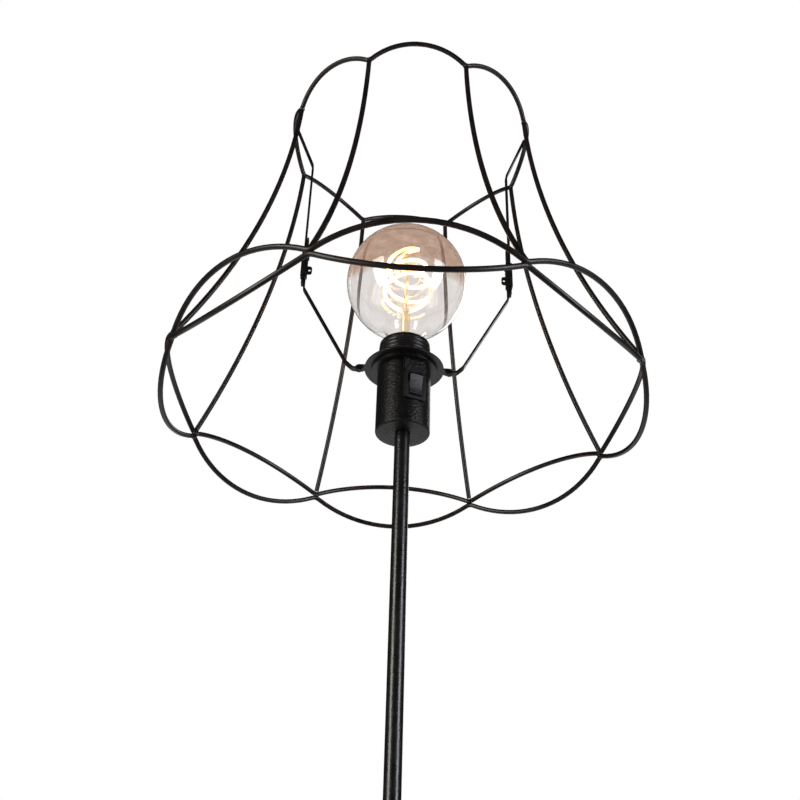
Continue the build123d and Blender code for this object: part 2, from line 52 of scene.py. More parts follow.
MM = 0.001


# ---- Places read from the frame --------------------------------------------------------

def low(name):
    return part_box(name)[0]


def high(name):
    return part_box(name)[1]


WIRE_R = 1.9 * MM
WELD_GAP = 0.05 * MM
RIBS = 8
HALF_BAY = math.pi / RIBS
FEET = low("hoop_upper").z - WELD_GAP / 2                  # plane in which the two hoops meet
HOOP_R = high("hoop_upper").x - WIRE_R
RING_R = high("top_ring").x - WIRE_R
RING_LOW = low("top_ring").z + WIRE_R
RING_CREST = high("top_ring").z - WIRE_R
GLOBE_R = high("bulb_glass").x
GLOBE_Z = high("bulb_glass").z - GLOBE_R
NECK_LOW = low("bulb_glass").z
STEM_TOP = high("bulb_stem").z


# ---- Camera ----------------------------------------------------------------------------

# Matched to the photograph: it stands low in front of the lamp and looks up into the cage.
CAMERA_FROM_FEET = (-27.65 * MM, -662.64 * MM, -425.4 * MM)
CAMERA_YAW = math.radians(2.177)                           # from +Y towards +X
CAMERA_PITCH = math.radians(32.639)                        # upwards
CAMERA_ROLL = math.radians(1.733)
SENSOR = 36.0
LENS = 47.82


def make_camera():
    data = bpy.data.cameras.new("camera")
    data.sensor_width = SENSOR
    data.lens = LENS
    data.clip_start = 0.01
    data.clip_end = 50
    camera = bpy.data.objects.new("camera", data)
    ahead = Vector((
        math.sin(CAMERA_YAW) * math.cos(CAMERA_PITCH),
        math.cos(CAMERA_YAW) * math.cos(CAMERA_PITCH),
        math.sin(CAMERA_PITCH),
    ))
    level = Vector((math.cos(CAMERA_YAW), -math.sin(CAMERA_YAW), 0))
    above = level.cross(ahead)
    right = math.cos(CAMERA_ROLL) * level + math.sin(CAMERA_ROLL) * above
    up = right.cross(ahead)
    turn = Matrix((right, up, -ahead)).transposed().to_4x4()
    camera.matrix_world = Matrix.Translation(Vector((0, 0, FEET)) + Vector(CAMERA_FROM_FEET)) @ turn
    bpy.context.collection.objects.link(camera)
    bpy.context.scene.camera = camera


# ---- Nodes -----------------------------------------------------------------------------

def linear(hex_colour):
    """An sRGB hex colour as the linear values that shaders take."""
    values = [int(hex_colour[i:i + 2], 16) / 255 for i in (0, 2, 4)]
    return tuple(v / 12.92 if v <= 0.04045 else ((v + 0.055) / 1.055) ** 2.4 for v in values) + (1.0,)


def add(tree, kind, inputs=None, **settings):
    """Adds a node. An input's value is a number, a colour, a data-block or another node's output."""
    made = tree.nodes.new(kind)
    for name, value in settings.items():
        setattr(made, name, value)
    for name, value in (inputs or {}).items():
        socket = made.inputs[name]
        if isinstance(value, bpy.types.NodeSocket):
            tree.links.new(value, socket)
        else:
            socket.default_value = value
    return made


def looked_at(tree):
    """1 where the camera sees a thing, also through glass, and 0 where it only lights or is mirrored."""
    path = add(tree, "ShaderNodeLightPath").outputs
    return add(tree, "ShaderNodeMath", {
        0: path["Is Camera Ray"], 1: path["Is Transmission Ray"],
    }, operation="MAXIMUM").outputs[0]


def mirrored(tree):
    """1 where gloss mirrors a thing."""
    return add(tree, "ShaderNodeLightPath").outputs["Is Glossy Ray"]


# ---- Light and room --------------------------------------------------------------------

WHITE = "FFFFFF"
ROOM_LIGHT = 0.26                                          # soft light from all round
ROOM_SEEN = 0.035                                          # dark studio, as gloss reflects it
FLOOR_SEEN = (0.14, 0.8)                                   # the floor as gloss reflects it, front and back
FLOOR_SEEN_SPAN = (0.2, 1.3)                               # metres behind the lamp over which that changes
FLOOR_PAINT = "E9E9E8"
FLOOR_HALF = 6.0                                           # half its width, in metres
FLOOR_WHITENED = (0.3, 1.0)                                # share of white in it, near and far off
FLOOR_WHITENED_SPAN = (0.5, 2.6)                           # metres from the lamp over which that changes
BACKDROP_EDGE = (0.93, 0.985)                              # where it fades in: cosines off straight back
# Two tall boxes either side of the camera draw the two bright bands on the pole and wires.
SOFTBOXES = {                                              # place and size in metres, brightness, colour
    "left softbox": ((-1.30, -0.93, 1.3), (0.62, 1.5), 7.2, "FFFBF2"),
    "right softbox": ((1.34, -0.88, 1.3), (0.6, 1.5), 7.0, "F2F5FF"),
    "rear softbox": ((0.9, 1.7, 2.4), (0.7, 1.0), 1.8, WHITE),
}


def make_world():
    """White where it is looked at. Gloss shows a white backdrop behind the lamp in a dim studio."""
    world = bpy.data.worlds.new("studio")
    bpy.context.scene.world = world
    world.use_nodes = True
    tree = world.node_tree
    tree.nodes.clear()
    heading = add(tree, "ShaderNodeTexCoord").outputs["Generated"]
    backwards = add(tree, "ShaderNodeSeparateXYZ", {0: heading}).outputs["Y"]
    backdrop = remapped(tree, backwards, *BACKDROP_EDGE, ROOM_SEEN, 1)
    unseen = add(tree, "ShaderNodeMix", {
        "Factor": mirrored(tree), 2: ROOM_LIGHT, 3: backdrop,
    }, data_type="FLOAT").outputs[0]
    strength = add(tree, "ShaderNodeMix", {
        "Factor": looked_at(tree), 2: unseen, 3: 1.0,
    }, data_type="FLOAT").outputs[0]
    shader = add(tree, "ShaderNodeBackground", {"Color": linear(WHITE), "Strength": strength})
    add(tree, "ShaderNodeOutputWorld", {"Surface": shader.outputs[0]})


def softbox(name, place, size, radiance, colour):
    """A large soft lamp. Its power follows from its size and how bright its face is."""
    data = bpy.data.lights.new(name, "AREA")
    data.shape = "RECTANGLE"
    data.size, data.size_y = size
    data.energy = math.pi * size[0] * size[1] * radiance
    data.color = linear(colour)[:3]
    lamp = bpy.data.objects.new(name, data)
    lamp.location = place
    lamp.visible_camera = False
    lamp.rotation_mode = "QUATERNION"
    aim = Vector((0, 0, FEET)) - Vector(place)
    lamp.rotation_quaternion = aim.to_track_quat("-Z", "Y")
    bpy.context.collection.objects.link(lamp)


def make_floor():
    half = FLOOR_HALF
    mesh = bpy.data.meshes.new("floor")
    corners = [(-half, -half, 0), (half, -half, 0), (half, half, 0), (-half, half, 0)]
    mesh.from_pydata(corners, [], [(0, 1, 2, 3)])
    floor = bpy.data.objects.new("floor", mesh)
    bpy.context.collection.objects.link(floor)
    material, tree = blank("pale painted floor")
    paint = add(tree, "ShaderNodeBsdfDiffuse", {"Color": linear(FLOOR_PAINT)})
    # Looked at, it pales to the white background away from the lamp and keeps the lamp's shadow.
    away = add(tree, "ShaderNodeVectorMath", {0: place_in(tree)}, operation="LENGTH").outputs["Value"]
    whitened = add(tree, "ShaderNodeMath", {
        0: looked_at(tree), 1: remapped(tree, away, *FLOOR_WHITENED_SPAN, *FLOOR_WHITENED),
    }, operation="MULTIPLY").outputs[0]
    white = add(tree, "ShaderNodeEmission", {"Color": linear(WHITE), "Strength": 1.0})
    looked = add(tree, "ShaderNodeMixShader", {0: whitened, 1: paint.outputs[0], 2: white.outputs[0]})
    # Mirrored in gloss, it is a lit floor behind the lamp and a dim one in front.
    backwards = add(tree, "ShaderNodeSeparateXYZ", {"Vector": place_in(tree)}).outputs["Y"]
    glow = remapped(tree, backwards, *FLOOR_SEEN_SPAN, *FLOOR_SEEN)
    lit = add(tree, "ShaderNodeEmission", {"Color": linear(WHITE), "Strength": glow})
    shown = add(tree, "ShaderNodeMixShader", {0: mirrored(tree), 1: looked.outputs[0], 2: lit.outputs[0]})
    add(tree, "ShaderNodeOutputMaterial", {"Surface": shown.outputs[0]})
    mesh.materials.append(material)


# ---- Materials -------------------------------------------------------------------------

def blank(name):
    material = bpy.data.materials.new(name)
    material.use_nodes = True
    tree = material.node_tree
    tree.nodes.clear()
    return material, tree


NOISE_SPAN = (0.3, 0.7)                                    # where nearly all of a noise's values lie


def place_in(tree):
    return add(tree, "ShaderNodeTexCoord").outputs["Object"]


def grains(tree, size_mm, detail=2.0, rough=0.5):
    """Noise whose features are about size_mm across."""
    return add(tree, "ShaderNodeTexNoise", {
        "Vector": place_in(tree), "Scale": 1 / (size_mm * MM), "Detail": detail, "Roughness": rough,
    }).outputs["Fac"]


def remapped(tree, value, from_low, from_high, to_low, to_high):
    return add(tree, "ShaderNodeMapRange", {
        "Value": value, "From Min": from_low, "From Max": from_high, "To Min": to_low, "To Max": to_high,
    }).outputs["Result"]


def blended(tree, factor, first, second):
    return add(tree, "ShaderNodeMix", {"Factor": factor, 6: first, 7: second}, data_type="RGBA").outputs[2]


def coated(name, shades, patch_mm, grain_mm, grain_depth_mm, roughness, specular=0.5, metallic=0.0):
    """A finish whose colour and gloss vary in patches between two shades, with a raised grain."""
    material, tree = blank(name)
    patches = remapped(tree, grains(tree, patch_mm, 3), *NOISE_SPAN, 0, 1)
    bump = add(tree, "ShaderNodeBump", {"Height": grains(tree, grain_mm, 2), "Distance": grain_depth_mm * MM})
    shader = add(tree, "ShaderNodeBsdfPrincipled", {
        "Base Color": blended(tree, patches, linear(shades[0]), linear(shades[1])),
        "Roughness": remapped(tree, patches, 0, 1, *roughness),
        "Specular IOR Level": specular,
        "Metallic": metallic,
        "Normal": bump.outputs["Normal"],
    })
    add(tree, "ShaderNodeOutputMaterial", {"Surface": shader.outputs[0]})
    return material


# The globe's wall, seen straight on and edge-on, without the painted ceiling tint and with it.
WALL_COLOURS = ("F3F2F1", "D0C4BC")
RIM_COLOURS = ("8C807A", "6B5548")
RIM_FROM = 0.86                                            # how edge-on the wall is where its rim begins
SOOT = "BCA390"
SOOT_SHARE = (0.02, 0.17)                                  # of the wall that soot covers, bare and under the painted ceiling tint
SOOT_AT_RIM = 0.2                                          # times that at the very rim
# The painted ceiling tint's lower edge: its height on the globe's axis, its fall to the front and to the
# sides.
CEILING_TINT_EDGE = 25 * MM
CEILING_TINT_LEAN = 0.74
CEILING_TINT_DROOP = 10.5                                          # per metre, times the square of the distance
CEILING_TINT_WAVE_MM = 9                                           # its raggedness: across, in mm, and up
CEILING_TINT_WAVE_HIGH = 6 * MM
CEILING_TINT_FADE = 3 * MM                                         # it fades in over this much each side of the edge
CEILING_TINT_STREAK_MM = 8
CEILING_TINT_STREAKS = (0.6, 1.0)                                  # its thinnest and thickest streaks


def painted_ceiling_tint(tree):
    """How strongly the painted ceiling tint covers the glass: none below its edge, and streaky above."""
    spot = place_in(tree)
    level = add(tree, "ShaderNodeVectorMath", {0: spot, 1: (0, -CEILING_TINT_LEAN, 1)}, operation="DOT_PRODUCT")
    aside = add(tree, "ShaderNodeSeparateXYZ", {"Vector": spot}).outputs["X"]
    squared = add(tree, "ShaderNodeMath", {0: aside, 1: aside}, operation="MULTIPLY").outputs[0]
    drooped = add(tree, "ShaderNodeMath", {
        0: squared, 1: CEILING_TINT_DROOP, 2: level.outputs["Value"],
    }, operation="MULTIPLY_ADD").outputs[0]
    ragged = add(tree, "ShaderNodeMath", {
        0: grains(tree, CEILING_TINT_WAVE_MM, 3), 1: CEILING_TINT_WAVE_HIGH, 2: drooped,
    }, operation="MULTIPLY_ADD").outputs[0]
    edge = GLOBE_Z + CEILING_TINT_EDGE + CEILING_TINT_WAVE_HIGH / 2
    tint_share = remapped(tree, ragged, edge - CEILING_TINT_FADE, edge + CEILING_TINT_FADE, 0, 1)
    streaks = remapped(tree, grains(tree, CEILING_TINT_STREAK_MM, 4, 0.6), 0.38, 0.62, *CEILING_TINT_STREAKS)
    return add(tree, "ShaderNodeMath", {0: tint_share, 1: streaks}, operation="MULTIPLY").outputs[0]


def globe_glass():
    """Thin blown glass. The brown tint on its crown, lowest at the front, is painted: it stands in for a dim
    ceiling seen through the glass.
    """
    material, tree = blank("blown glass with painted ceiling tint")
    # Painted: the brown crown tint stands in for a dim ceiling seen through the glass.
    ceiling_tint = painted_ceiling_tint(tree)
    wall = blended(tree, ceiling_tint, *map(linear, WALL_COLOURS))
    # Seen edge-on the wall is looked through lengthways, which draws the globe's thin dark outline.
    facing = add(tree, "ShaderNodeLayerWeight", {"Blend": 0.5}).outputs["Facing"]
    rim = remapped(tree, facing, RIM_FROM, 1, 0, 1)
    outline = blended(tree, ceiling_tint, *map(linear, RIM_COLOURS))
    # Soot, thickest under the painted ceiling tint, takes up the filament's light and shows it as a brown
    # veil.
    share = remapped(tree, ceiling_tint, 0, 1, *SOOT_SHARE)
    kept = remapped(tree, rim, 0, 1, 1, SOOT_AT_RIM)
    soot = add(tree, "ShaderNodeMath", {0: share, 1: kept}, operation="MULTIPLY").outputs[0]
    return see_through(material, tree, blended(tree, rim, wall, outline), 0.0, soot)


def stem_glass():
    """Clear pressed glass, a little uneven where it was squeezed round the lead wires. Its golden tint is
    painted warm light from the filament.
    """
    material, tree = blank("pressed clear glass")
    # The golden colour is painted warm light from the filament; the glass itself is clear.
    return see_through(material, tree, linear("F6E3BE"), 0.14)


def see_through(material, tree, colour, roughness, soot=None):
    """Glass that lets light through to what stands around it, with a share of soot on it where given."""
    glass = add(tree, "ShaderNodeBsdfPrincipled", {
        "Base Color": colour, "Transmission Weight": 1.0, "Roughness": roughness, "IOR": 1.5,
    }).outputs[0]
    if soot is not None:
        near = add(tree, "ShaderNodeBsdfDiffuse", {"Color": linear(SOOT)})
        far = add(tree, "ShaderNodeBsdfTranslucent", {"Color": linear(SOOT)})
        veil = add(tree, "ShaderNodeMixShader", {0: 0.5, 1: near.outputs[0], 2: far.outputs[0]})
        glass = add(tree, "ShaderNodeMixShader", {0: soot, 1: glass, 2: veil.outputs[0]}).outputs[0]
    passing = add(tree, "ShaderNodeBsdfTransparent", {"Color": linear("F4F1EC")})
    shadow = add(tree, "ShaderNodeLightPath").outputs["Is Shadow Ray"]
    mixed = add(tree, "ShaderNodeMixShader", {0: shadow, 1: glass, 2: passing.outputs[0]})
    add(tree, "ShaderNodeOutputMaterial", {"Surface": mixed.outputs[0]})
    return material


FILAMENT_POWER = (12, 18)                                  # dimmest and brightest stretches


def hot_wire():
    """Drawn carbon wire at full heat: white at its core, and orange where the glass mirrors it."""
    material, tree = blank("glowing drawn wire")
    power = remapped(tree, grains(tree, 2.5), *NOISE_SPAN, *FILAMENT_POWER)
    shader = add(tree, "ShaderNodeBsdfPrincipled", {
        "Base Color": linear("5A3E2A"),
        "Emission Color": linear("FFC078"),
        "Emission Strength": power,
        "Roughness": 0.5,
    })
    add(tree, "ShaderNodeOutputMaterial", {"Surface": shader.outputs[0]})
    return material


def make_finishes():
    """The finish of each material slot, in coated()'s order of values."""
    return {
        # Powder baked on a deep-drawn cup: coarse orange peel breaks the highlight into speckle.
        "cup_powder_coat": coated(
            "orange-peel powder coat", ("060606", "0C0B0B"), 9, 1.7, 0.42, (0.33, 0.42), 0.32),
        # The same powder on drawn tube: smoother and shinier, mottled along its length.
        "pole_powder_coat": coated(
            "semi-gloss powder coat", ("080808", "0F0E0F"), 14, 2.6, 0.14, (0.24, 0.33), 0.68),
        # Matt powder on a pressed cover: even, fine sand.
        "base_powder_coat": coated(
            "matt powder coat", ("131212", "1A1919"), 30, 0.9, 0.1, (0.48, 0.58), 0.45),
        # Enamel dipped over drawn wire: satin black. Its brown patches are painted warm light from the bulb.
        "cage_enamel": coated(
            "satin dipped enamel", ("080606", "1E1410"), 18, 2.4, 0.004, (0.3, 0.4), 0.45),
        "arm_enamel": coated(
            "satin enamel on strip steel", ("080606", "17110E"), 12, 2.0, 0.005, (0.3, 0.4), 0.45),
        "clip_enamel": coated(
            "satin enamel on folded steel", ("090808", "12100E"), 6, 1.0, 0.03, (0.36, 0.48), 0.28),
        # Compression-moulded phenolic: hard and even, with a dull mould grain.
        "phenolic_black": coated(
            "moulded phenolic", ("0B0A0A", "131111"), 7, 0.6, 0.02, (0.26, 0.38), 0.45),
        # Injection-moulded nylon: a fine spark-eroded grain.
        "switch_nylon": coated(
            "moulded nylon", ("09090A", "101011"), 5, 0.5, 0.02, (0.34, 0.42), 0.35),
        # Injection-moulded ABS, polished in the mould.
        "rocker_gloss": coated(
            "polished moulded ABS", ("101012", "17171A"), 8, 1.0, 0.008, (0.2, 0.28), 0.9),
        # Bright zinc over turned steel: bluish, with faint passivation patches.
        "zinc_steel": coated(
            "zinc-plated steel", ("A9ABA8", "C2C2BC"), 4, 0.6, 0.01, (0.3, 0.42), 0.5, 1.0),
        # Sand-cast iron, as cast.
        "grey_iron": coated(
            "sand-cast iron", ("3A3836", "4C4946"), 8, 1.4, 0.3, (0.65, 0.8), 0.4, 0.6),
        # Die-cut rubber sheet.
        "foot_rubber": coated(
            "matt rubber", ("141414", "1C1C1B"), 10, 0.7, 0.05, (0.8, 0.9), 0.3),
        # Pressed steatite, unglazed: off-white with a fine tooth.
        "holder_ceramic": coated(
            "unglazed steatite", ("D8D2C4", "E4DFD3"), 5, 0.5, 0.02, (0.5, 0.6), 0.4),
        # Stamped brass strip with light handling tarnish.
        "contact_brass": coated(
            "stamped brass", ("B8924A", "D0AC62"), 4, 0.5, 0.01, (0.25, 0.4), 0.5, 1.0),
        # Nickel on rolled brass.
        "cap_nickel": coated(
            "nickel-plated brass", ("B5AFA4", "CBC6BA"), 3, 0.5, 0.01, (0.22, 0.35), 0.5, 1.0),
        # Solder left as it set.
        "cap_solder": coated(
            "tinned solder", ("8E8E8C", "A8A8A4"), 2, 0.6, 0.03, (0.4, 0.5), 0.5, 1.0),
        # Glass poured into the cap as an insulator.
        "black_vitrite": coated(
            "cast black glass", ("0A0A0C", "121216"), 3, 0.8, 0.01, (0.12, 0.2), 0.5),
        "smoked_glass": globe_glass(),
        "clear_glass": stem_glass(),
        "glowing_filament": hot_wire(),
    }


# ---- Making meshes ---------------------------------------------------------------------

def settle(piece):
    """Turns a piece's modifiers or curve into a plain mesh and drops the original."""
    view = bpy.context.evaluated_depsgraph_get()
    mesh = bpy.data.meshes.new_from_object(piece.evaluated_get(view))
    name = piece.name
    bpy.data.objects.remove(piece)
    mesh.name = name
    made = bpy.data.objects.new(name, mesh)
    bpy.context.collection.objects.link(made)
    return made


def tidy_mesh(mesh, merge):
    """Closes poles and seams and points every face outwards."""
    work = bmesh.new()
    work.from_mesh(mesh)
    bmesh.ops.remove_doubles(work, verts=work.verts, dist=merge)
    bmesh.ops.dissolve_degenerate(work, edges=work.edges, dist=merge / 10)
    bmesh.ops.recalc_face_normals(work, faces=work.faces)
    work.to_mesh(mesh)
    work.free()


CAD_MERGE = 0.01 * MM
GLOBE_MERGE = 0.002 * MM
FLAT_ANGLE = math.radians(1)                               # faces that turn less than this are one face
EDGE_ANGLE = math.radians(35)                              # edges that turn more than this are broken
EDGE_SEGMENTS = 2


def softened(node_name, bevel_mm):
    """A copy of a CAD piece with its edges broken, as pressed and moulded edges are."""
    mesh = NODES[node_name].data.copy()
    if mesh.has_custom_normals:
        mesh.attributes.remove(mesh.attributes["custom_normal"])
    tidy_mesh(mesh, CAD_MERGE)
    mesh.shade_smooth()
    piece = bpy.data.objects.new(node_name + "_finished", mesh)
    bpy.context.collection.objects.link(piece)
    flat = piece.modifiers.new("flat", "DECIMATE")
    flat.decimate_type = "DISSOLVE"
    flat.angle_limit = FLAT_ANGLE
    edge = piece.modifiers.new("edge", "BEVEL")
    edge.width = bevel_mm * MM
    edge.segments = EDGE_SEGMENTS
    edge.limit_method = "ANGLE"
    edge.angle_limit = EDGE_ANGLE
    edge.harden_normals = True
    return settle(piece)


def sized_tree(name, sizes):
    """A geometry node tree with a named input for each size."""
    tree = bpy.data.node_groups.new(name, "GeometryNodeTree")
    tree.interface.new_socket("Geometry", in_out="INPUT", socket_type="NodeSocketGeometry")
    tree.interface.new_socket("Geometry", in_out="OUTPUT", socket_type="NodeSocketGeometry")
    for label, value in sizes.items():
        kind = "NodeSocketInt" if isinstance(value, int) else "NodeSocketFloat"
        tree.interface.new_socket(label, in_out="INPUT", socket_type=kind)
    return tree, tree.nodes.new("NodeGroupInput").outputs


def end_tree(tree, geometry, finish):
    real = add(tree, "GeometryNodeRealizeInstances", {"Geometry": geometry})
    dressed = add(tree, "GeometryNodeSetMaterial", {"Geometry": real.outputs[0], "Material": finish})
    add(tree, "NodeGroupOutput", {"Geometry": dressed.outputs[0]})


def grown(name, data, tree, sizes):
    """Runs a tree on a curve or mesh at the given sizes and keeps the result as a plain mesh."""
    piece = bpy.data.objects.new(name, data)
    bpy.context.collection.objects.link(piece)
    build = piece.modifiers.new("build", "NODES")
    build.node_group = tree
    for item in tree.interface.items_tree:
        if item.in_out == "INPUT" and item.name in sizes:
            build[item.identifier] = sizes[item.name]
    return settle(piece)


def course(name, points):
    """A smooth open curve drawn by the given points."""
    data = bpy.data.curves.new(name, "CURVE")
    data.dimensions = "3D"
    spline = data.splines.new("NURBS")
    spline.points.add(len(points) - 1)
    for slot, point in zip(spline.points, points):
        slot.co = (*point, 1)
    spline.order_u = 4
    spline.use_endpoint_u = True
    spline.resolution_u = 12
    return data


def round_z(radius, angle, height):
    return Vector((radius * math.cos(angle), radius * math.sin(angle), height))


# ---- Bulb ------------------------------------------------------------------------------

GLASS_WALL = 0.8 * MM
NECK_R = 13.1 * MM
NECK_FLARE = 14 * MM
GLOBE_SEGMENTS = 112
GLOBE_ROWS = 48
FLARE_ROWS = 14


def globe_outline(inset):
    """(radius, height) down the glass from its crown, drawn inset from its outside."""
    reach = NECK_R + NECK_FLARE
    flare_z = GLOBE_Z - math.sqrt((GLOBE_R + NECK_FLARE) ** 2 - reach ** 2)
    meet = math.atan2(flare_z - GLOBE_Z, reach)
    points = []
    for number in range(GLOBE_ROWS + 1):
        angle = math.pi / 2 + (meet - math.pi / 2) * number / GLOBE_ROWS
        points.append(((GLOBE_R - inset) * math.cos(angle), GLOBE_Z + (GLOBE_R - inset) * math.sin(angle)))
    for number in range(1, FLARE_ROWS + 1):
        angle = meet + math.pi - meet * number / FLARE_ROWS
        points.append((
            reach + (NECK_FLARE + inset) * math.cos(angle),
            flare_z + (NECK_FLARE + inset) * math.sin(angle),
        ))
    points.append((NECK_R - inset, NECK_LOW))
    return points


def make_globe(finish):
    """The blown globe: its outer skin and its inner skin, joined at the neck."""
    outline = globe_outline(0) + globe_outline(GLASS_WALL)[::-1]
    rows = len(outline)
    points, faces = [], []
    for number in range(GLOBE_SEGMENTS):
        angle = 2 * math.pi * number / GLOBE_SEGMENTS
        points += [round_z(r, angle, z) for r, z in outline]
        here, there = number * rows, (number + 1) % GLOBE_SEGMENTS * rows
        faces += [(here + row, there + row, there + row + 1, here + row + 1) for row in range(rows - 1)]
    mesh = bpy.data.meshes.new("bulb_globe")
    mesh.from_pydata(points, [], faces)
    tidy_mesh(mesh, GLOBE_MERGE)
    mesh.shade_smooth()
    mesh.materials.append(finish)
    globe = bpy.data.objects.new("bulb_globe", mesh)
    bpy.context.collection.objects.link(globe)
    return globe


# The filament: a fine coil whose two strands climb round the stem half a turn apart.
FILAMENT_LOW = -11 * MM                                    # heights from the globe's centre
FILAMENT_HIGH = 28 * MM
FILAMENT_BOW = 34 * MM
FILAMENT_WIDE = 18.5 * MM
FILAMENT_NARROW = 13.5 * MM
FILAMENT_TURNS = 1.39
FILAMENT_START = math.radians(180)
LEAD_FROM = (3.2 * MM, -27 * MM)                           # where its ends leave the stem
LEAD_BELLY = (13 * MM, -24 * MM)
STRAND_STEPS = 18


def strand(start):
    points = [round_z(LEAD_FROM[0], start, GLOBE_Z + LEAD_FROM[1])]
    points.append(round_z(LEAD_BELLY[0], start, GLOBE_Z + LEAD_BELLY[1]))
    for number in range(STRAND_STEPS + 1):
        along = number / STRAND_STEPS
        radius = FILAMENT_WIDE + (FILAMENT_NARROW - FILAMENT_WIDE) * along ** 2
        height = FILAMENT_LOW + (FILAMENT_HIGH - FILAMENT_LOW) * along
        points.append(round_z(radius, start + 2 * math.pi * FILAMENT_TURNS * along, GLOBE_Z + height))
    return points


def make_filament(finish):
    sizes = {"Wire radius": 0.24 * MM, "Coil radius": 1.2 * MM, "Coil pitch": 1.7 * MM, "Steps per turn": 12}
    tree, given = sized_tree("coiled wire", sizes)
    step = add(tree, "ShaderNodeMath", {
        0: given["Coil pitch"], 1: given["Steps per turn"],
    }, operation="DIVIDE").outputs[0]
    spaced = add(tree, "GeometryNodeResampleCurve", {
        "Curve": given["Geometry"], "Length": step,
    }, mode="LENGTH")
    turn = add(tree, "ShaderNodeMath", {
        0: 2 * math.pi, 1: given["Steps per turn"],
    }, operation="DIVIDE").outputs[0]
    index = add(tree, "GeometryNodeInputIndex").outputs[0]
    angle = add(tree, "ShaderNodeMath", {0: index, 1: turn}, operation="MULTIPLY").outputs[0]
    aside = add(tree, "ShaderNodeVectorRotate", {
        "Vector": add(tree, "GeometryNodeInputNormal").outputs[0],
        "Axis": add(tree, "GeometryNodeInputTangent").outputs[0],
        "Angle": angle,
    }).outputs[0]
    offset = add(tree, "ShaderNodeVectorMath", {
        0: aside, "Scale": given["Coil radius"],
    }, operation="SCALE").outputs[0]
    coil = add(tree, "GeometryNodeSetPosition", {"Geometry": spaced.outputs[0], "Offset": offset})
    section = add(tree, "GeometryNodeCurvePrimitiveCircle", {"Resolution": 5, "Radius": given["Wire radius"]})
    wire = add(tree, "GeometryNodeCurveToMesh", {
        "Curve": coil.outputs[0], "Profile Curve": section.outputs[0], "Fill Caps": True,
    })
    end_tree(tree, wire.outputs[0], finish)
    middle = [Vector((0, 0, GLOBE_Z + FILAMENT_BOW))]
    points = strand(FILAMENT_START) + middle + strand(FILAMENT_START + math.pi)[::-1]
    made = grown("filament_coil", course("filament_course", points), tree, sizes)
    made.data.shade_smooth()
    return made


HOOK_R = 1.7 * MM
HOOK_START = 200                                           # degrees; it turns back from there to its tip
HOOK_STEP = 36
HOOK_POINTS = 8


def make_supports(finish):
    """Thin wires that hold the filament off the stem, each ending in a small hook."""
    sizes = {"Count": 7, "Hub radius": 0.8 * MM, "Wire radius": 0.22 * MM}
    tree, given = sized_tree("ring of wires", sizes)
    hub = add(tree, "GeometryNodeMeshCircle", {"Vertices": given["Count"], "Radius": given["Hub radius"]})
    facing = add(tree, "FunctionNodeAlignRotationToVector", {
        "Vector": add(tree, "GeometryNodeInputPosition").outputs[0],
    }, axis="X", pivot_axis="Z")
    spokes = add(tree, "GeometryNodeInstanceOnPoints", {
        "Points": hub.outputs[0], "Instance": given["Geometry"], "Rotation": facing.outputs[0],
    })
    real = add(tree, "GeometryNodeRealizeInstances", {"Geometry": spokes.outputs[0]})
    section = add(tree, "GeometryNodeCurvePrimitiveCircle", {"Resolution": 6, "Radius": given["Wire radius"]})
    wire = add(tree, "GeometryNodeCurveToMesh", {
        "Curve": real.outputs[0], "Profile Curve": section.outputs[0], "Fill Caps": True,
    })
    end_tree(tree, wire.outputs[0], finish)
    pieces = []
    for label, start, reach, end in (
        ("upper_supports", STEM_TOP - 1.5 * MM, FILAMENT_NARROW, GLOBE_Z + FILAMENT_HIGH - 6 * MM),
        ("lower_supports", GLOBE_Z - 25 * MM, FILAMENT_WIDE - 0.5 * MM, GLOBE_Z + FILAMENT_LOW + 4 * MM),
    ):
        points = [Vector((0, 0, start)), Vector((2.5 * MM, 0, start + 0.4 * MM))]
        for number in range(HOOK_POINTS):
            turn = math.radians(HOOK_START - HOOK_STEP * number)
            points.append(Vector((
                reach - sizes["Hub radius"] + HOOK_R * math.cos(turn), 0, end + HOOK_R * math.sin(turn),
            )))
        made = grown(label, course(label, points), tree, sizes)
        made.data.shade_smooth()
        pieces.append(made)
    return pieces


# ---- Weld beads ------------------------------------------------------------------------

BEAD_LEAST = (0.86, 0.86, 0.86)                            # how much single beads differ in size
BEAD_MOST = (1.1, 1.14, 1.1)
BEAD_SEED = 5
BEAD_LUMPS = 0.12                                          # as a share of the bead's radius


